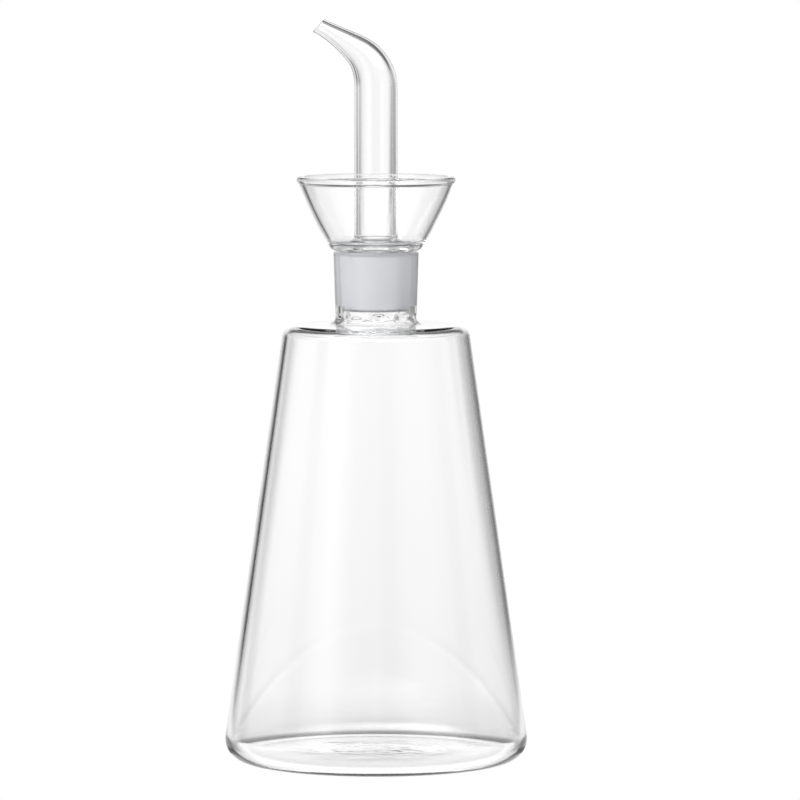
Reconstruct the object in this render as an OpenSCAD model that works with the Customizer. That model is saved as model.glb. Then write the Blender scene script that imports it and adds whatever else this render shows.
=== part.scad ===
// Conical glass oil bottle with a ground-glass pourer: a drip cup with a bent spout.
// Millimetres, +Z up. The origin is the centre of the base, on the surface it stands on.
// The spout points along -X and the vent in the drip cup is on +X.

/* [Flask] */
// Widest diameter of the flask, at its heel
base_d = 89.8; // [70:0.2:110]
// Lean of the conical wall from the vertical, in degrees
wall_lean = 8.1; // [5:0.1:10]
// Wall thickness of the flask
wall_t = 1.5; // [1.2:0.1:2.5]
// Thickness of the flask's floor
floor_t = 2; // [1.5:0.1:4]
// Outer radius of the rounded heel
heel_r = 6.5; // [4:0.5:9]
// Height that the middle of the base is pushed up
punt_h = 1.4; // [0:0.1:4]
// Height at which the shoulder's line meets the neck
shoulder_z = 130.4; // [110:0.1:130.6]
// Outer radius of the shoulder's corner
shoulder_r = 4; // [3:0.5:8]

/* [Ground joint] */
// Bore of the socket at its rim
socket_d = 21.8; // [19:0.1:22.2]
// Height of the socket's rim
rim_z = 151.5; // [146:0.5:158]
// Radial play between the two ground faces
joint_play = 0.05; // [0.03:0.01:0.1]
// Wall thickness of the hollow plug
plug_t = 1.6; // [1.2:0.1:2.2]
// Height of the plug's lower end
plug_z = 134; // [133.5:0.5:140]

/* [Drip cup] */
// Diameter over the cup's rolled rim
cup_d = 47.1; // [44:0.1:56]
// Height of the middle of the rolled rim
cup_rim_z = 172.6; // [170:0.2:180]
// Wall thickness of the cup
cup_t = 1.3; // [1:0.1:1.8]
// Diameter of the vent, which also drains the cup
vent_d = 2.5; // [1.5:0.1:2.6]

/* [Spout] */
// Outer diameter of the spout's upright tube
tube_d = 12.9; // [11:0.1:13.2]
// Wall thickness of the upright tube
tube_t = 1.5; // [1:0.1:2]
// Outer diameter of the spout's tip
tip_d = 4.9; // [4:0.1:7]
// Wall thickness at the spout's tip
tip_t = 0.9; // [0.7:0.1:1.2]
// Height at which the tube starts to bend
bend_z = 200; // [190:0.5:215]

/* [Hidden] */
$fn = 96;

clear_glass = [0.86, 0.93, 0.94, 0.35];
ground_glass = [0.9, 0.91, 0.93, 0.8];

// Flask: the shoulder falls away from the neck by this angle.
shoulder_fall = 3.2;
heel_cr = base_d / 2 - heel_r;
foot_in_r = heel_cr - 5;
neck_r = 12.1;
neck_fillet_r = 1.5;
weld_z = 133;

// Ground joint: the bore narrows by 1 in 10 on its diameter.
joint_slope = 1 / 20;
socket_rim_r = 12.65;
rim_round_r = 0.5;
rim_chamfer = 0.3;
plug_round_r = 0.7;
throat_r = bore_r(weld_z);

// Drip cup: its collar stands just over the socket's rim, and its wall bulges a little.
collar_z = rim_z + 0.3;
cup_floor_under_z = collar_z + 1.2;
cup_floor_z = cup_floor_under_z + 1.2;
cup_bead_r = 1.05;
cup_bulge_r = 100;
cup_top_lean = 19.5;
cup_foot_r = 2;
cup_corner_r = 3;
vent_x = 7.95;

// Spout: an upright tube on a flared foot, then a tight bend and a long slow one. The bent
// part starts a little lower than its bend and a hair thicker, so that it wraps the tube's end.
tube_r = tube_d / 2;
tube_bore_r = tube_r - tube_t;
tube_flare_r = 2.6;
bend_1_r = 14;
bend_1_angle = 52;
bend_2_r = 68;
bend_2_angle = 11.6;
tip_cut = 16;
lap = 1;
lap_t = 0.03;
spout_sides = 40;
spout_rings = 22;
bend_1_length = bend_1_r * bend_1_angle * PI / 180;
bend_2_length = bend_2_r * bend_2_angle * PI / 180;
bend_length = bend_1_length + bend_2_length;

// Radius of the socket's ground bore at a height.
function bore_r(z) = socket_d / 2 - (rim_z - z) * joint_slope;

// Points on a circle about c, from angle a to angle b.
function arc(c, r, a, b, n = 8) =
    [for (i = [0:n]) let (t = a + (b - a) * i / n) c + r * [cos(t), sin(t)]];

// Distance from the origin of the line through p whose normal is at angle a.
function line_at(a, p) = p * [cos(a), sin(a)];

// Where two lines meet, each given by its normal's angle and its distance from the origin.
function meet(a1, d1, a2, d2) =
    [d1 * sin(a2) - d2 * sin(a1), d2 * cos(a1) - d1 * cos(a2)] / sin(a2 - a1);

// Upward push of the base at radius r, smooth at the middle and at the foot ring.
function punt(r) = punt_h * (1 + cos(180 * r / foot_in_r)) / 2;

// A ring of glass: the profile is in radius and height.
module turned(profile) {
    rotate_extrude() polygon(profile);
}

module flask_body() {
    wall = line_at(wall_lean, [heel_cr, heel_r]) + heel_r;
    roof_a = 90 - shoulder_fall;
    roof = line_at(roof_a, [neck_r, shoulder_z]);
    corner = meet(wall_lean, wall - shoulder_r, roof_a, roof - shoulder_r);
    fillet = meet(0, neck_r + neck_fillet_r, roof_a, roof + neck_fillet_r);
    throat_round_r = neck_fillet_r + wall_t;
    throat = meet(0, throat_r + throat_round_r, roof_a, roof - wall_t + throat_round_r);
    heel_in_r = heel_r - wall_t;
    heel_in = meet(wall_lean, wall - wall_t - heel_in_r, 90, floor_t + heel_in_r);
    steps = 10;
    base = [for (i = [0:steps]) let (r = foot_in_r * i / steps) [r, punt(r)]];
    color(clear_glass)
        turned(concat(
            base,
            arc([heel_cr, heel_r], heel_r, -90, wall_lean, 12),
            arc(corner, shoulder_r, wall_lean, roof_a, 10),
            arc(fillet, neck_fillet_r, 180 + roof_a, 180, 6),
            [[neck_r, weld_z], [throat_r, weld_z]],
            arc(throat, throat_round_r, 180, 180 + roof_a, 6),
            arc(corner, shoulder_r - wall_t, roof_a, wall_lean, 10),
            arc(heel_in, heel_in_r, wall_lean, -90, 12),
            [for (i = [steps:-1:0]) base[i] + [0, floor_t]]
        ));
}

module neck_socket() {
    color(clear_glass)
        turned(concat(
            [[throat_r, weld_z], [neck_r, weld_z]],
            arc([socket_rim_r - rim_round_r, rim_z - rim_round_r], rim_round_r, 0, 90, 5),
            [[bore_r(rim_z) + rim_chamfer, rim_z], [bore_r(rim_z - rim_chamfer), rim_z - rim_chamfer]]
        ));
}

module ground_plug() {
    low_r = bore_r(plug_z) - joint_play;
    top_r = bore_r(collar_z) - joint_play;
    round_z = plug_z + plug_round_r;
    color(ground_glass)
        turned(concat(
            arc([low_r - plug_t + plug_round_r, round_z], plug_round_r, 180, 270, 4),
            arc([low_r - plug_round_r, round_z], plug_round_r, 270, 360, 4),
            [[top_r, collar_z], [top_r - plug_t, collar_z]]
        ));
}

// The vent passes through the cup's floor and the edge of the spout's flared foot.
module vent() {
    translate([vent_x, 0, collar_z])
        cylinder(d = vent_d, h = 8);
}

module drip_cup() {
    plug_bore_r = bore_r(collar_z) - joint_play - plug_t;
    bead = [cup_d / 2 - cup_bead_r, cup_rim_z];
    // The wall lies between two circles about this point.
    hub = bead - (cup_bulge_r - cup_t / 2) * [cos(cup_top_lean), -sin(cup_top_lean)];
    foot_z = collar_z + cup_foot_r;
    foot_a = asin((foot_z - hub.y) / (cup_bulge_r - cup_foot_r));
    foot = hub + (cup_bulge_r - cup_foot_r) * [cos(foot_a), sin(foot_a)];
    in_r = cup_bulge_r - cup_t;
    corner_a = asin((cup_floor_z + cup_corner_r - hub.y) / (in_r - cup_corner_r));
    corner = hub + (in_r - cup_corner_r) * [cos(corner_a), sin(corner_a)];
    color(clear_glass)
        difference() {
            union() {
                turned(concat(
                    [[plug_bore_r, collar_z]],
                    arc(foot, cup_foot_r, -90, foot_a, 6),
                    arc(hub, cup_bulge_r, foot_a, -cup_top_lean, 10),
                    arc(hub, in_r, -cup_top_lean, corner_a, 10),
                    arc(corner, cup_corner_r, corner_a, -90, 6),
                    [[tube_bore_r, cup_floor_z], [tube_bore_r, cup_floor_under_z]],
                    [[plug_bore_r, cup_floor_under_z]]
                ));
                rotate_extrude() translate(bead) circle(r = cup_bead_r);
            }
            vent();
        }
}

// Direction of the spout, from the vertical, at a length s past the start of the bend.
function bend_angle(s) =
    s < bend_1_length ? bend_1_angle * max(s, 0) / bend_1_length
                      : bend_1_angle + bend_2_angle * (s - bend_1_length) / bend_2_length;

// Centre of the spout at a length s past the start of the bend.
function bend_point(s) =
    let (a = bend_angle(min(s, bend_1_length)), b = bend_angle(s))
    let (p = [0, 0, bend_z + min(s, 0)] + bend_1_r * [cos(a) - 1, 0, sin(a)])
    s <= bend_1_length ? p : p + bend_2_r * [cos(b) - cos(a), 0, sin(b) - sin(a)];

// A radius that narrows smoothly from r0 to r1 along the bend.
function taper(r0, r1, s) = let (t = max(s, 0) / bend_length) r0 + (r1 - r0) * t * t * (3 - 2 * t);

// A ring of points about the spout's centreline, which slants more and more towards the tip's cut.
function spout_ring(s, r) =
    let (a = bend_angle(s), slant = tan(tip_cut) * pow(max(s, 0) / bend_length, 4))
    let (across = [cos(a), 0, sin(a)] - slant * [-sin(a), 0, cos(a)])
    [for (i = [0:spout_sides - 1]) let (t = 360 * i / spout_sides)
        bend_point(s) + r * (cos(t) * across + sin(t) * [0, 1, 0])];

// Bent, narrowing tube: its rings go up the outside and come back down the bore.
module beak() {
    stations = concat([-lap], [for (i = [0:spout_rings]) bend_length * i / spout_rings]);
    outside = [for (s = stations) spout_ring(s, taper(tube_r + lap_t, tip_d / 2, s))];
    inside = [for (s = stations) spout_ring(s, taper(tube_bore_r - lap_t, tip_d / 2 - tip_t, s))];
    rings = concat(outside, [for (i = [len(inside) - 1:-1:0]) inside[i]]);
    m = len(rings);
    n = spout_sides;
    polyhedron(
        points = [for (ring = rings, p = ring) p],
        faces = [for (j = [0:m - 1], i = [0:n - 1])
            let (k = (i + 1) % n, l = (j + 1) % m)
            each [[j * n + i, l * n + i, l * n + k], [j * n + i, l * n + k, j * n + k]]]
    );
}

module spout_tube() {
    top = bend_z - lap / 2;
    color(clear_glass)
        difference() {
            union() {
                turned(concat(
                    [[tube_bore_r, cup_floor_z]],
                    arc([tube_r + tube_flare_r, cup_floor_z + tube_flare_r], tube_flare_r, 270, 180, 8),
                    [[tube_r, top], [tube_bore_r, top]]
                ));
                beak();
            }
            vent();
        }
}

flask_body();
neck_socket();
ground_plug();
drip_cup();
spout_tube();
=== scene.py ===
"""The looks of a lampworked glass oil bottle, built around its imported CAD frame. Metres, +Z up."""
import math

import bmesh
import bpy
from mathutils import Matrix, Vector, noise


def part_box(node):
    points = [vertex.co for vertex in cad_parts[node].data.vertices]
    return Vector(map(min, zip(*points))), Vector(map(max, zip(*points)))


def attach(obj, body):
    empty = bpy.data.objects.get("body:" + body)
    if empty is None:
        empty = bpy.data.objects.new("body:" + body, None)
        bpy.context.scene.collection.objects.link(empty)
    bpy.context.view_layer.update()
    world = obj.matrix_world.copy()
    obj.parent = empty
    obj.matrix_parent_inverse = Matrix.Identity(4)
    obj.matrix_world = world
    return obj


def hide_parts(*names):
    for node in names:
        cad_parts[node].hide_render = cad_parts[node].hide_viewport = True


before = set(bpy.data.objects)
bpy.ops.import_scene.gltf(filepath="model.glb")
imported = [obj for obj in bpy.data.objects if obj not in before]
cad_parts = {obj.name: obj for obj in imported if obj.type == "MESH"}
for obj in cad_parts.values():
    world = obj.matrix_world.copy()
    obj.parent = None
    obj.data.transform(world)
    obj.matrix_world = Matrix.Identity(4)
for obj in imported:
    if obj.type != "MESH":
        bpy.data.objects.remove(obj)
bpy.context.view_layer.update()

MM = 0.001
SIDES = 256

# Driving places, read from the frame.
FLASK_LO, FLASK_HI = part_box("flask_body")
SOCKET_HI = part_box("neck_socket")[1]
PLUG_LO, PLUG_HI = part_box("ground_plug")
CUP_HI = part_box("drip_cup")[1]
TUBE_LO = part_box("spout_tube")[0]

BASE_R = FLASK_HI.x
WELD_Z = FLASK_HI.z
RIM_Z = SOCKET_HI.z
SOCKET_RIM_R = SOCKET_HI.x
PLUG_Z = PLUG_LO.z
COLLAR_Z = PLUG_HI.z
PLUG_TOP_R = PLUG_HI.x
CUP_R = CUP_HI.x
CUP_TOP_Z = CUP_HI.z
FLOOR_Z = TUBE_LO.z

# Walls and roundings, as in the CAD source.
WALL_LEAN = math.radians(8.1)
WALL_T = 1.5 * MM
FLOOR_T = 2.0 * MM
HEEL_R = 6.5 * MM
HEEL_CENTRE_R = BASE_R - HEEL_R
FOOT_W = 5 * MM
PUNT_R = HEEL_CENTRE_R - FOOT_W
PUNT_H = 1.4 * MM
SHOULDER_Z = 130.4 * MM
SHOULDER_R = 4.0 * MM
SHOULDER_FALL = math.radians(3.2)
NECK_R = 12.1 * MM
NECK_FILLET_R = 1.5 * MM
JOINT_SLOPE = 1 / 20
JOINT_PLAY = 0.05 * MM
GROUND_Z = 135.5 * MM
PLUG_T = 1.6 * MM
CUP_T = 1.3 * MM
CUP_BEAD_R = 1.05 * MM
CUP_BULGE_R = 100 * MM
CUP_TOP_LEAN = math.radians(19.5)
CUP_FOOT_R = 2.0 * MM
CUP_CORNER_R = 3.0 * MM
TUBE_R = 6.45 * MM
TUBE_T = 1.5 * MM
FLARE_R = 2.6 * MM
VENT_X = 7.95 * MM
VENT_R = 1.25 * MM
BEND_Z = 200 * MM
BEND_1_R = 14 * MM
BEND_1_ANGLE = math.radians(52)
BEND_2_R = 68 * MM
BEND_2_ANGLE = math.radians(11.6)
TIP_R = 2.45 * MM
TIP_T = 0.9 * MM
TIP_CUT = math.radians(16)

# The plug stops this far under the cup, so that the cup doesn't graze it while it turns.
PLUG_GAP = 0.01 * MM


# ---------------------------------------------------------------- outlines (radius, height)
# arc and line take the number of steps last, and a longer or tighter stretch gets more of them.

def arc(centre, radius, start, end, steps):
    """Points on a circle from angle start to angle end, in radians."""
    angles = [start + (end - start) * i / steps for i in range(steps + 1)]
    return [(centre[0] + radius * math.cos(a), centre[1] + radius * math.sin(a)) for a in angles]


def line(p, q, steps):
    """Points on a straight run between p and q, without its ends."""
    return [(p[0] + (q[0] - p[0]) * i / steps, p[1] + (q[1] - p[1]) * i / steps) for i in range(1, steps)]


def offset_of(angle, p):
    """Distance from the origin of the line through p whose normal is at an angle."""
    return p[0] * math.cos(angle) + p[1] * math.sin(angle)


def meet(a1, d1, a2, d2):
    """Where two lines meet, each given by its normal's angle and its distance from the origin."""
    s = math.sin(a2 - a1)
    return ((d1 * math.sin(a2) - d2 * math.sin(a1)) / s, (d2 * math.cos(a1) - d1 * math.cos(a2)) / s)


def joint_r(z):
    """Radius of the socket's ground bore at a height."""
    return PLUG_TOP_R + JOINT_PLAY - (COLLAR_Z - z) * JOINT_SLOPE


def punt(r):
    """Height of the pushed-up base at a radius."""
    return PUNT_H * (1 + math.cos(math.pi * min(r / PUNT_R, 1))) / 2


# ---------------------------------------------------------------- hand-made unevenness

def waver(a, z, lobes, pitch, seed):
    """Smooth noise round a turned piece, from about -1 to 1."""
    return noise.noise(Vector((lobes * math.cos(a), lobes * math.sin(a), z / pitch + seed)))


def bell(x, centre, width):
    """A smooth bump from 0 up to 1 and back."""
    return math.exp(-((x - centre) / width) ** 2)


def weld_ripple(r, z, a):
    """The neck was fused to the socket by hand, so the glass is wavy there, more so inside."""
    top = PLUG_Z - 0.2 * MM
    if z > top or r > NECK_R + NECK_FILLET_R:
        return 0, 0
    inside = r < (NECK_R + joint_r(WELD_Z)) / 2
    size, seed = (0.55 * MM, 3.1) if inside else (0.24 * MM, 8.4)
    fade = bell(z, WELD_Z - 1.0 * MM, 1.6 * MM) * min((top - z) / (0.8 * MM), 1)
    return size * fade * waver(a, z, lobes=3.6, pitch=2.6 * MM, seed=seed), 0


def base_ripple(r, z, a):
    """The floor was pressed and fire-polished: it has faint rings and a pontil scar at its centre."""
    x, y = r * math.cos(a), r * math.sin(a)
    swirl = noise.noise(Vector((x / (9 * MM), y / (9 * MM), 1.7)))
    fine = noise.noise(Vector((x / (3.2 * MM), y / (3.2 * MM), 5.2)))
    rings = math.sin(r / (1.9 * MM) + 2.5 * swirl) * bell(r, 17 * MM, 9 * MM)
    scar = bell(r, 0, 4 * MM) * (0.5 + fine)
    fade = 1 - min(r / PUNT_R, 1) ** 6
    rise = 0.045 * rings + 0.10 * swirl + 0.05 * fine * bell(r, 12 * MM, 12 * MM) + 0.12 * scar
    return 0, rise * fade * MM


def flask_ripple(r, z, a):
    """The flask is wavy at its neck and on the upper side of its base, and smooth between them."""
    if z > WELD_Z - 6 * MM:
        return weld_ripple(r, z, a)
    slack = 0.01 * MM
    on_floor = FLOOR_T - slack < z < FLOOR_T + PUNT_H + slack and r < PUNT_R
    return base_ripple(r, z, a) if on_floor else (0, 0)


def cup_ripple(r, z, a):
    """The cup was blown by hand, so its wall is a little wavy."""
    margin = 3 * MM
    if z < FLOOR_Z + CUP_CORNER_R or z > CUP_TOP_Z - margin:
        return 0, 0
    fade = min(z - FLOOR_Z - CUP_CORNER_R, CUP_TOP_Z - margin - z, margin) / margin
    return 0.10 * MM * fade * waver(a, z, lobes=1.6, pitch=9 * MM, seed=2.2), 0


# ---------------------------------------------------------------- meshes

def add_object(name, bm):
    """Puts a bmesh in the scene as an object."""
    mesh = bpy.data.meshes.new(name)
    bm.to_mesh(mesh)
    bm.free()
    made = bpy.data.objects.new(name, mesh)
    bpy.context.scene.collection.objects.link(made)
    return made


def turned(name, runs, closed, ripple=None):
    """A piece turned about Z. runs is [(material, points)], each run starting where the last one ended."""
    points, slots = [runs[0][1][0]], []
    for slot, run in runs:
        points += run[1:]
        slots += [slot] * (len(run) - 1)
    if closed:
        points.pop()
    bm = bmesh.new()
    rings = []
    for r, z in points:
        if r < 1e-7:
            rings.append([bm.verts.new((0, 0, z))])
            continue
        ring = []
        for k in range(SIDES):
            a = 2 * math.pi * k / SIDES
            dr, dz = ripple(r, z, a) if ripple else (0, 0)
            ring.append(bm.verts.new(((r + dr) * math.cos(a), (r + dr) * math.sin(a), z + dz)))
        rings.append(ring)
    names = list(dict.fromkeys(slots))
    for i, slot in enumerate(slots):
        low, high = rings[i], rings[(i + 1) % len(rings)]
        for k in range(SIDES):
            l = (k + 1) % SIDES
            corners = [low[k % len(low)], low[l % len(low)], high[l % len(high)], high[k % len(high)]]
            face = bm.faces.new(list(dict.fromkeys(corners)))
            face.smooth = True
            face.material_index = names.index(slot)
    bmesh.ops.recalc_face_normals(bm, faces=bm.faces)
    return finish_mesh(name, bm, names)


def finish_mesh(name, bm, names):
    """Makes the object, with a sharp edge wherever two materials meet."""
    for e in bm.edges:
        if len({f.material_index for f in e.link_faces}) > 1:
            e.smooth = False
    piece = add_object(name, bm)
    for n in names:
        piece.data.materials.append(MATERIALS[n])
    return piece


def drill_vent(piece):
    """Cuts the air vent, which goes down beside the tube through its flared foot and the cup's floor."""
    bm = bmesh.new()
    bmesh.ops.create_cone(bm, cap_ends=True, segments=64, radius1=VENT_R, radius2=VENT_R, depth=8 * MM,
                          matrix=Matrix.Translation((VENT_X, 0, FLOOR_Z)))
    for face in bm.faces:
        face.smooth = True
    cutter = add_object("vent_cutter", bm)
    cutter.data.materials.append(MATERIALS["clear"])
    cut = piece.modifiers.new("vent", "BOOLEAN")
    cut.operation, cut.solver, cut.object = "DIFFERENCE", "EXACT", cutter
    depsgraph = bpy.context.evaluated_depsgraph_get()
    drilled = bpy.data.meshes.new_from_object(piece.evaluated_get(depsgraph))
    drilled.name = piece.data.name
    piece.modifiers.clear()
    piece.data = drilled
    drilled.set_sharp_from_angle(angle=math.radians(50))
    bpy.data.objects.remove(cutter)
    return piece


# ---------------------------------------------------------------- materials

def math_node(tree, operation, *values):
    node = tree.nodes.new("ShaderNodeMath")
    node.operation = operation
    for socket, value in zip(node.inputs, values):
        if isinstance(value, (int, float)):
            socket.default_value = value
        else:
            tree.links.new(value, socket)
    return node.outputs[0]


def ramp(tree, value, stops):
    """Maps a value through (position, grey) stops between 0 and 1."""
    node = tree.nodes.new("ShaderNodeValToRGB")
    elements = node.color_ramp.elements
    while len(elements) < len(stops):
        elements.new(0.5)
    for element, (position, grey) in zip(elements, stops):
        element.position = position
        element.color = (grey, grey, grey, 1)
    node.color_ramp.interpolation = "EASE"
    tree.links.new(value, node.inputs["Fac"])
    return node.outputs["Color"]


def principled(name, **values):
    material = bpy.data.materials.new(name)
    material.use_nodes = True
    shader = material.node_tree.nodes["Principled BSDF"]
    for key, value in values.items():
        shader.inputs[key.replace("_", " ")].default_value = value
    return material, material.node_tree, shader


def grain(tree, scale, detail=3.0, stretch=(1, 1, 1)):
    """Noise fixed to the piece. scale is in grains a metre."""
    coords = tree.nodes.new("ShaderNodeTexCoord")
    mapping = tree.nodes.new("ShaderNodeMapping")
    mapping.inputs["Scale"].default_value = stretch
    texture = tree.nodes.new("ShaderNodeTexNoise")
    texture.inputs["Scale"].default_value = scale
    texture.inputs["Detail"].default_value = detail
    tree.links.new(coords.outputs["Object"], mapping.inputs["Vector"])
    tree.links.new(mapping.outputs["Vector"], texture.inputs["Vector"])
    return texture.outputs["Fac"]


def add_bump(tree, shader, height, distance, under=None):
    bump = tree.nodes.new("ShaderNodeBump")
    bump.inputs["Distance"].default_value = distance
    tree.links.new(height, bump.inputs["Height"])
    if under:
        tree.links.new(under, bump.inputs["Normal"])
    tree.links.new(bump.outputs["Normal"], shader.inputs["Normal"])
    return bump.outputs["Normal"]


def clear_glass():
    material, tree, shader = principled(
        "clear_glass", Base_Color=(1, 1, 1, 1), Roughness=0.0, IOR=1.47, Transmission_Weight=1.0)
    add_bump(tree, shader, grain(tree, 110, 1.0), 0.01 * MM)
    return material


def ground_glass():
    """Ground with grit while it turned: an even frost, with a fine grain that runs round the joint."""
    material, tree, shader = principled(
        "ground_glass", Base_Color=(0.965, 0.972, 1.0, 1), IOR=1.47, Transmission_Weight=0.3)
    frost = ramp(tree, grain(tree, 900, 4.0), [(0.3, 0.5), (0.7, 0.62)])
    tree.links.new(frost, shader.inputs["Roughness"])
    rings = add_bump(tree, shader, grain(tree, 400, 4.0, (1, 1, 18)), 0.002 * MM)
    add_bump(tree, shader, grain(tree, 5000, 2.0), 0.003 * MM, under=rings)
    return material


def weld():
    """Inside fused glass there is no surface: light goes straight on."""
    material = bpy.data.materials.new("fused_inside")
    material.use_nodes = True
    tree = material.node_tree
    tree.nodes.clear()
    out = tree.nodes.new("ShaderNodeOutputMaterial")
    clear = tree.nodes.new("ShaderNodeBsdfTransparent")
    tree.links.new(clear.outputs["BSDF"], out.inputs["Surface"])
    return material


MATERIALS = {"clear": clear_glass(), "ground": ground_glass(), "weld": weld()}


# ---------------------------------------------------------------- pieces

def make_flask():
    wall = offset_of(WALL_LEAN, (HEEL_CENTRE_R, HEEL_R)) + HEEL_R
    roof_a = math.pi / 2 - SHOULDER_FALL
    roof = offset_of(roof_a, (NECK_R, SHOULDER_Z))
    corner = meet(WALL_LEAN, wall - SHOULDER_R, roof_a, roof - SHOULDER_R)
    fillet = meet(0, NECK_R + NECK_FILLET_R, roof_a, roof + NECK_FILLET_R)
    throat_r = joint_r(WELD_Z)
    round_r = NECK_FILLET_R + WALL_T
    throat = meet(0, throat_r + round_r, roof_a, roof - WALL_T + round_r)
    in_r = HEEL_R - WALL_T
    heel_in = meet(WALL_LEAN, wall - WALL_T - in_r, math.pi / 2, FLOOR_T + in_r)
    steps = 80
    base = [(PUNT_R * i / steps, punt(PUNT_R * i / steps)) for i in range(steps + 1)]
    heel = arc((HEEL_CENTRE_R, HEEL_R), HEEL_R, -math.pi / 2, WALL_LEAN, 32)
    shoulder = arc(corner, SHOULDER_R, WALL_LEAN, roof_a, 24)
    root = arc(fillet, NECK_FILLET_R, math.pi + roof_a, math.pi, 12)
    neck_top = (NECK_R, WELD_Z)
    throat_top = (throat_r, WELD_Z)
    outside = base + line(base[-1], heel[0], 8) + heel + line(heel[-1], shoulder[0], 80) + shoulder
    outside += line(shoulder[-1], root[0], 16) + root + line(root[-1], neck_top, 8) + [neck_top]
    mouth = arc(throat, round_r, math.pi, math.pi + roof_a, 16)
    in_shoulder = arc(corner, SHOULDER_R - WALL_T, roof_a, WALL_LEAN, 24)
    in_heel = arc(heel_in, in_r, WALL_LEAN, -math.pi / 2, 32)
    in_base = [(r, z + FLOOR_T) for r, z in reversed(base)]
    inside = [throat_top] + line(throat_top, mouth[0], 8) + mouth + line(mouth[-1], in_shoulder[0], 16)
    inside += in_shoulder + line(in_shoulder[-1], in_heel[0], 80) + in_heel
    inside += line(in_heel[-1], in_base[0], 8) + in_base
    runs = [("clear", outside), ("weld", [neck_top, throat_top]), ("clear", inside)]
    return turned("flask", runs, closed=False, ripple=flask_ripple)


def make_socket():
    throat_r = joint_r(WELD_Z)
    lip_r = 0.5 * MM
    chamfer = 0.3 * MM
    neck_low = (NECK_R, WELD_Z)
    lip = arc((SOCKET_RIM_R - lip_r, RIM_Z - lip_r), lip_r, 0, math.pi / 2, 10)
    mouth = [(joint_r(RIM_Z) + chamfer, RIM_Z), (joint_r(RIM_Z - chamfer), RIM_Z - chamfer)]
    ground_low = (joint_r(GROUND_Z), GROUND_Z)
    throat_low = (throat_r, WELD_Z)
    outside = [neck_low] + line(neck_low, lip[0], 48) + lip
    top = [lip[-1], mouth[0]]
    ground = [mouth[0], mouth[1]] + line(mouth[1], ground_low, 24) + [ground_low]
    below = [ground_low] + line(ground_low, throat_low, 8) + [throat_low]
    runs = [("clear", outside), ("clear", top), ("ground", ground), ("clear", below),
            ("weld", [throat_low, neck_low])]
    return turned("neck_socket_glass", runs, closed=True, ripple=weld_ripple)


def make_plug():
    low_r = joint_r(PLUG_Z) - JOINT_PLAY
    round_r = 0.7 * MM
    round_z = PLUG_Z + round_r
    ground_z = round_z + 0.2 * MM
    in_low = arc((low_r - PLUG_T + round_r, round_z), round_r, math.pi, 1.5 * math.pi, 10)
    out_low = arc((low_r - round_r, round_z), round_r, 1.5 * math.pi, 2 * math.pi, 10)
    ground_low = (joint_r(ground_z) - JOINT_PLAY, ground_z)
    ground_top = (joint_r(RIM_Z) - JOINT_PLAY, RIM_Z)
    top_z = COLLAR_Z - PLUG_GAP
    top = (PLUG_TOP_R, top_z)
    top_in = (PLUG_TOP_R - PLUG_T, top_z)
    runs = [("clear", in_low + out_low + [ground_low]),
            ("ground", [ground_low] + line(ground_low, ground_top, 24) + [ground_top]),
            ("clear", [ground_top, top]), ("weld", [top, top_in]),
            ("clear", [top_in] + line(top_in, in_low[0], 24) + [in_low[0]])]
    return turned("ground_plug_glass", runs, closed=True)


def make_cup():
    plug_bore_r = PLUG_TOP_R - PLUG_T
    bead = (CUP_R - CUP_BEAD_R, CUP_TOP_Z - CUP_BEAD_R)
    mid = CUP_BULGE_R - CUP_T / 2
    hub = (bead[0] - mid * math.cos(CUP_TOP_LEAN), bead[1] + mid * math.sin(CUP_TOP_LEAN))
    in_r = CUP_BULGE_R - CUP_T

    def tangent(reach, z):
        a = math.asin((z - hub[1]) / reach)
        return a, (hub[0] + reach * math.cos(a), z)

    foot_a, foot = tangent(CUP_BULGE_R - CUP_FOOT_R, COLLAR_Z + CUP_FOOT_R)
    corner_a, corner = tangent(in_r - CUP_CORNER_R, FLOOR_Z + CUP_CORNER_R)
    under_z = FLOOR_Z - 1.2 * MM
    # The wall's two circles cross the rolled rim's, which starts a little past them to soften the crease.
    turn = math.asin((CUP_T / 2) / CUP_BEAD_R)
    rim_out = -math.pi / 2 - CUP_TOP_LEAN + turn
    rim_in = 1.5 * math.pi - CUP_TOP_LEAN - turn
    out_end = -CUP_TOP_LEAN - math.sqrt(CUP_BEAD_R ** 2 - CUP_T ** 2 / 4) / CUP_BULGE_R
    wall = arc(hub, CUP_BULGE_R, foot_a, out_end, 40)
    ease = 0.25
    rim = arc(bead, CUP_BEAD_R, rim_out + ease, rim_in - ease, 32)
    wall_in = arc(hub, in_r, out_end, corner_a, 40)
    corner_run = arc(corner, CUP_CORNER_R, corner_a, -math.pi / 2, 16)
    flare_edge = (TUBE_R + FLARE_R, FLOOR_Z)
    bore_top, bore_low = (TUBE_R - TUBE_T, FLOOR_Z), (TUBE_R - TUBE_T, under_z)
    plug_in, plug_out = (plug_bore_r, COLLAR_Z), (PLUG_TOP_R, COLLAR_Z)
    foot_run = arc(foot, CUP_FOOT_R, -math.pi / 2, foot_a, 12)
    outside = [plug_out] + line(plug_out, foot_run[0], 4) + foot_run + wall[1:] + rim + wall_in
    outside += corner_run[1:] + line(corner_run[-1], flare_edge, 6) + [flare_edge]
    soft = 0.5 * MM
    under = [bore_top] + arc((bore_low[0] + soft, under_z + soft), soft, math.pi, 1.5 * math.pi, 6)
    under += line(under[-1], (plug_bore_r - soft, under_z), 6)
    under += arc((plug_bore_r - soft, under_z - soft), soft, math.pi / 2, 0, 6) + [plug_in]
    runs = [("clear", outside), ("weld", [flare_edge, bore_top]), ("clear", under),
            ("weld", [plug_in, plug_out])]
    return drill_vent(turned("drip_cup_glass", runs, closed=True, ripple=cup_ripple))


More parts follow.
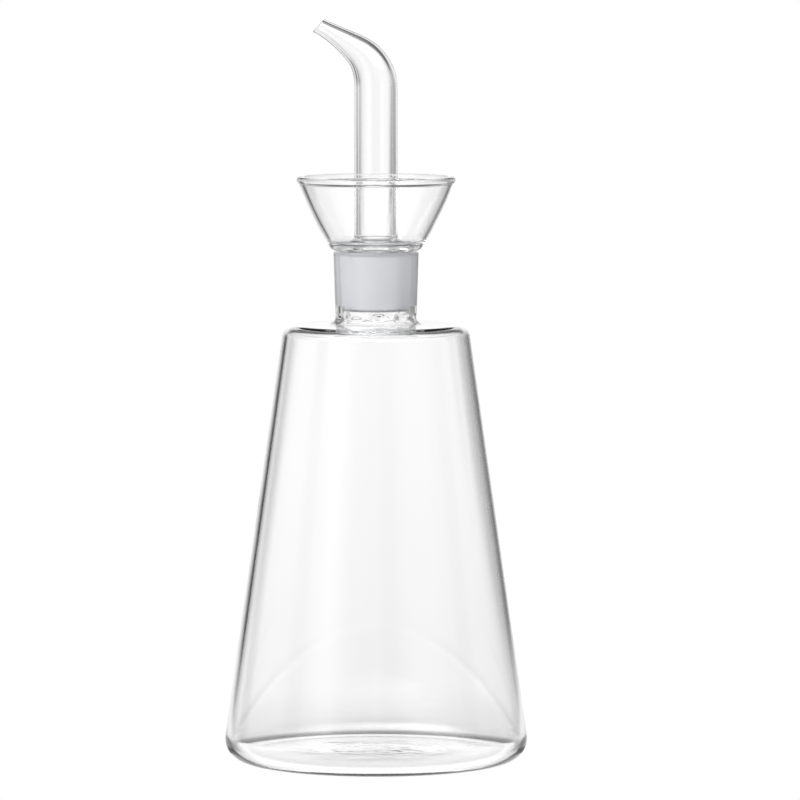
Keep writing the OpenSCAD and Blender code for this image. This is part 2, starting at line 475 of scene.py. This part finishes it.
def bend_frame(s):
    """Centre and direction angle of the spout at a length s past the start of its bend."""
    l1 = BEND_1_R * BEND_1_ANGLE
    a = max(min(s, l1), 0) / BEND_1_R
    x, z = BEND_1_R * (math.cos(a) - 1), BEND_Z + min(s, 0) + BEND_1_R * math.sin(a)
    if s > l1:
        b = BEND_1_ANGLE + (s - l1) / BEND_2_R
        x += BEND_2_R * (math.cos(b) - math.cos(a))
        z += BEND_2_R * (math.sin(b) - math.sin(a))
        a = b
    return Vector((x, 0, z)), a


def make_tube():
    length = BEND_1_R * BEND_1_ANGLE + BEND_2_R * BEND_2_ANGLE
    straight = BEND_Z - FLOOR_Z

    def ring(s, r, lift=0.0):
        centre, a = bend_frame(s)
        slant = math.tan(TIP_CUT) * max(s / length, 0) ** 4
        along = Vector((-math.sin(a), 0, math.cos(a)))
        across = Vector((math.cos(a), 0, math.sin(a))) - slant * along
        centre = centre + along * lift
        angles = [2 * math.pi * k / SIDES for k in range(SIDES)]
        return [centre + r * (math.cos(t) * across + math.sin(t) * Vector((0, 1, 0))) for t in angles]

    def taper(r0, r1, s):
        t = max(s, 0) / length
        return r0 + (r1 - r0) * t * t * (3 - 2 * t)

    flare = arc((TUBE_R + FLARE_R, FLOOR_Z + FLARE_R), FLARE_R, 1.5 * math.pi, math.pi, 24)
    rings = [ring(z - BEND_Z, r) for r, z in flare]
    rise = straight - FLARE_R
    rings += [ring(-rise + rise * i / 40, TUBE_R) for i in range(1, 40)]
    rings += [ring(length * i / 60, taper(TUBE_R, TIP_R, length * i / 60)) for i in range(60)]
    lip = TIP_T / 2
    mid_r = TIP_R - lip
    lip_steps = 12
    flat = 0.8
    for i in range(lip_steps + 1):
        t = math.pi * i / lip_steps
        rings.append(ring(length, mid_r + lip * math.cos(t), lip * flat * (math.sin(t) - 1)))
    rings += [ring(length * i / 60, taper(TUBE_R - TUBE_T, TIP_R - TIP_T, length * i / 60))
              for i in range(59, -1, -1)]
    rings += [ring(-straight * i / 40, TUBE_R - TUBE_T) for i in range(1, 41)]
    bm = bmesh.new()
    made = [[bm.verts.new(p) for p in points] for points in rings]
    n = len(made)
    for i in range(n):
        low, high = made[i], made[(i + 1) % n]
        for k in range(SIDES):
            l = (k + 1) % SIDES
            face = bm.faces.new([low[k], low[l], high[l], high[k]])
            face.smooth = True
            face.material_index = 1 if i == n - 1 else 0
    bmesh.ops.recalc_face_normals(bm, faces=bm.faces)
    return drill_vent(finish_mesh("spout_glass", bm, ["clear", "weld"]))


for maker, body, node, slot in (
        (make_flask, "bottle", "flask_body", "clear_glass"),
        (make_socket, "bottle", "neck_socket", "clear_glass"),
        (make_plug, "plug", "ground_plug", "ground_glass"),
        (make_cup, "pourer_head", "drip_cup", "clear_glass"),
        (make_tube, "pourer_head", "spout_tube", "clear_glass")):
    piece = maker()
    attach(piece, body)
    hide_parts(node)


# ---------------------------------------------------------------- studio

# The room's light by compass angle: 0 is +Y, behind the bottle, and 90 is +X. It is white behind the
# bottle, a tall softbox stands in front on the left, and the right side is dimmer.
ROOM = [
    (-180, 0.35), (-161, 0.5), (-136, 1.5), (-122, 1.1), (-114, 0.6), (-106, 0.6), (-97, 0.95),
    (-85, 0.95), (-64, 0.75), (-50, 0.9), (-42, 0.9), (-32, 0.65), (-23, 0.75), (-13, 0.96), (-7, 1.0),
    (16, 1.0), (24, 0.75), (38, 0.45), (60, 0.5), (90, 0.45), (112, 0.45), (128, 0.65), (144, 0.65),
    (161, 0.4), (180, 0.35)]
BRIGHTEST = 2.0
# Higher up, the room is dark behind the bottle and has two big lamps in front, the left one stronger.
HIGH = [
    (-180, 5.2), (-150, 7.2), (-115, 5.2), (-92, 1.0), (-76, 0.12), (76, 0.12), (92, 0.8), (140, 2.9),
    (180, 5.2)]
BRIGHTEST_HIGH = 8.0
OVERHEAD_LEVEL = 1.1
TABLE_LEVEL = 0.9
FAR_LEVEL = 0.92
# Where one part of the room eases into the next, as the sine of the elevation.
TABLE_BAND = (-0.24, -0.14)
FAR_TABLE_BAND = (-0.125, -0.07)
SCREEN_TOP_BAND = (0.17, 0.32)
OVERHEAD_BAND = (0.72, 0.9)
FRONT_SCREEN_RISE = 0.2
# Black cards stand round the bottle and draw dark lines along the glass's edges: how much they cover,
# by compass angle. They fade out towards their foot and their top.
CARDS = [
    (-180, 0), (-70, 0), (-62, 0.7), (-56, 0.7), (-50, 0.1), (-43, 0.5), (-38, 0.92), (-32, 0.92),
    (-26, 0.4), (-17, 0.2), (-10, 0), (9, 0), (17, 0.45), (23, 0.85), (27, 0.85), (33, 0.5), (44, 0.3),
    (58, 0), (92, 0), (100, 0.7), (108, 0.7), (114, 0), (158, 0), (165, 0.7), (172, 0.7), (180, 0)]
CARD_RING_R = 350 * MM
CARD_FOOT = -30 * MM
CARD_FULL_LOW = 30 * MM
CARD_FULL_HIGH = 120 * MM
CARD_TOP = 240 * MM
# The white table glows with painted light and shade: brightest under the bottle, a painted pool of light, and
# dimmer behind it than in front, painted shade.
FLOOR_R = 300 * MM
FLOOR_SOLID_R = 120 * MM
UNDER_PAINTED_LIGHT = 1.08
FRONT_LEVEL = 1.04
BACK_PAINTED_SHADE = 0.8


def smooth(tree, value, low, high, from_level, to_level):
    """Eases from one level to another while value goes from low to high."""
    node = tree.nodes.new("ShaderNodeMapRange")
    node.interpolation_type = "SMOOTHSTEP"
    for socket, v in zip(list(node.inputs)[1:5], (low, high, from_level, to_level)):
        socket.default_value = v
    tree.links.new(value, node.inputs[0])
    return node.outputs[0]


def around(tree, x, y, table, scale=1.0):
    """Looks a compass angle up in a table of (degrees, value)."""
    azimuth = math_node(tree, "ARCTAN2", x, y)
    turn = math_node(tree, "MULTIPLY_ADD", azimuth, 0.5 / math.pi, 0.5)
    value = ramp(tree, turn, [((a + 180) / 360, v / scale) for a, v in table])
    return math_node(tree, "MULTIPLY", value, scale)


def separate(tree, coordinate):
    coords = tree.nodes.new("ShaderNodeTexCoord")
    xyz = tree.nodes.new("ShaderNodeSeparateXYZ")
    tree.links.new(coords.outputs[coordinate], xyz.inputs["Vector"])
    return xyz.outputs


def mix(tree, share, a, b):
    """a where share is 0, b where share is 1."""
    rest = math_node(tree, "SUBTRACT", 1, share)
    return math_node(tree, "ADD", math_node(tree, "MULTIPLY", a, rest), math_node(tree, "MULTIPLY", b, share))


def white_to_camera(tree, level):
    """What the camera sees beside the glass is plain white."""
    seen = tree.nodes.new("ShaderNodeLightPath")
    return mix(tree, seen.outputs["Is Camera Ray"], level, 1)


def make_world():
    world = bpy.data.worlds.new("studio")
    bpy.context.scene.world = world
    world.use_nodes = True
    tree = world.node_tree
    tree.nodes.clear()
    x, y, z = separate(tree, "Generated")
    low = smooth(tree, z, *FAR_TABLE_BAND, FAR_LEVEL, 1.0)
    walls = math_node(tree, "MULTIPLY", around(tree, x, y, ROOM, BRIGHTEST), low)
    walls = mix(tree, smooth(tree, z, *TABLE_BAND, 1, 0), walls, TABLE_LEVEL)
    lamps = around(tree, x, y, HIGH, BRIGHTEST_HIGH)
    # The screens behind the bottle end lower than the ones in front.
    height = math_node(tree, "SUBTRACT", z, smooth(tree, y, -0.2, 0.2, FRONT_SCREEN_RISE, 0))
    level = mix(tree, smooth(tree, height, *SCREEN_TOP_BAND, 0, 1), walls, lamps)
    level = mix(tree, smooth(tree, z, *OVERHEAD_BAND, 0, 1), level, OVERHEAD_LEVEL)
    back = tree.nodes.new("ShaderNodeBackground")
    back.inputs["Color"].default_value = (1, 1, 1, 1)
    tree.links.new(white_to_camera(tree, level), back.inputs["Strength"])
    out = tree.nodes.new("ShaderNodeOutputWorld")
    tree.links.new(back.outputs["Background"], out.inputs["Surface"])


def stage_piece(name, bm, share, level=None):
    """A piece of the studio that is clear where its share is 0. It glows at a level, or is black without
    one. share(tree) and level(tree) make the nodes."""
    piece = add_object(name, bm)
    material = bpy.data.materials.new(name)
    material.use_nodes = True
    tree = material.node_tree
    tree.nodes.clear()
    glow = tree.nodes.new("ShaderNodeEmission")
    glow.inputs["Strength"].default_value = 0
    if level:
        tree.links.new(level(tree), glow.inputs["Strength"])
    clear = tree.nodes.new("ShaderNodeBsdfTransparent")
    blend = tree.nodes.new("ShaderNodeMixShader")
    tree.links.new(share(tree), blend.inputs[0])
    tree.links.new(clear.outputs["BSDF"], blend.inputs[1])
    tree.links.new(glow.outputs["Emission"], blend.inputs[2])
    out = tree.nodes.new("ShaderNodeOutputMaterial")
    tree.links.new(blend.outputs["Shader"], out.inputs["Surface"])
    piece.data.materials.append(material)
    return piece


def reach(tree):
    """Distance from the bottle's axis."""
    x, y, z = separate(tree, "Object")
    squares = math_node(tree, "ADD", math_node(tree, "MULTIPLY", x, x), math_node(tree, "MULTIPLY", y, y))
    return math_node(tree, "SQRT", squares)


def make_floor():
    bm = bmesh.new()
    bmesh.ops.create_circle(bm, cap_ends=True, segments=128, radius=FLOOR_R)

    def level(tree):
        r = reach(tree)
        x, y, z = separate(tree, "Object")
        # Painted light and shade on the table: brighter under the bottle and in front of it, darker behind
        # it, easing to the far level from 70 to 200 mm out.
        beside = smooth(tree, y, -40 * MM, 30 * MM, FRONT_LEVEL, BACK_PAINTED_SHADE)
        painted_table_light = mix(tree, smooth(tree, r, 44 * MM, 54 * MM, 0, 1), UNDER_PAINTED_LIGHT, beside)
        painted_table_light = mix(tree, smooth(tree, r, 70 * MM, 200 * MM, 0, 1), painted_table_light, FAR_LEVEL)
        # The bottle's painted shadow: a dark crescent painted behind its foot, from its inner edge to its
        # outer one.
        painted_shadow = math_node(tree, "MULTIPLY", smooth(tree, r, 44 * MM, 46.5 * MM, 0, 1),
                             smooth(tree, r, 48 * MM, 58 * MM, 0.75, 0))
        painted_shadow = math_node(tree, "MULTIPLY", painted_shadow, smooth(tree, y, -25 * MM, 10 * MM, 0, 1))
        return white_to_camera(tree, mix(tree, painted_shadow, painted_table_light, 0))

    def share(tree):
        return smooth(tree, reach(tree), FLOOR_SOLID_R, FLOOR_R, 1, 0)

    floor = stage_piece("floor", bm, share, level)
    floor.location.z = FLASK_LO.z - 0.05 * MM


def make_cards():
    bm = bmesh.new()
    middle = Matrix.Translation((0, 0, (CARD_TOP + CARD_FOOT) / 2))
    bmesh.ops.create_cone(bm, segments=96, radius1=CARD_RING_R, radius2=CARD_RING_R,
                          depth=CARD_TOP - CARD_FOOT, matrix=middle)

    def share(tree):
        x, y, z = separate(tree, "Object")
        fade = math_node(tree, "MULTIPLY", smooth(tree, z, CARD_FOOT, CARD_FULL_LOW, 0, 1),
                         smooth(tree, z, CARD_FULL_HIGH, CARD_TOP, 1, 0))
        return math_node(tree, "MULTIPLY", around(tree, x, y, CARDS), fade)

    cards = stage_piece("cards", bm, share)
    cards.visible_camera = False


def make_camera():
    """A long lens, a little above the bottle's middle and looking slightly down."""
    data = bpy.data.cameras.new("camera")
    data.lens = 299.9
    data.sensor_width = 36
    data.clip_start, data.clip_end = 0.1, 50
    camera = bpy.data.objects.new("camera", data)
    camera.location = (7.1 * MM, -1971 * MM, 263.1 * MM)
    camera.rotation_euler = (math.radians(90 - 4.518), 0, 0)
    bpy.context.scene.collection.objects.link(camera)
    bpy.context.scene.camera = camera


make_world()
make_floor()
make_cards()
make_camera()
scene = bpy.context.scene
scene.view_settings.view_transform = "Standard"
scene.cycles.max_bounces = 32
scene.cycles.transmission_bounces = 32
scene.cycles.glossy_bounces = 16
scene.cycles.diffuse_bounces = 24
scene.cycles.transparent_max_bounces = 24
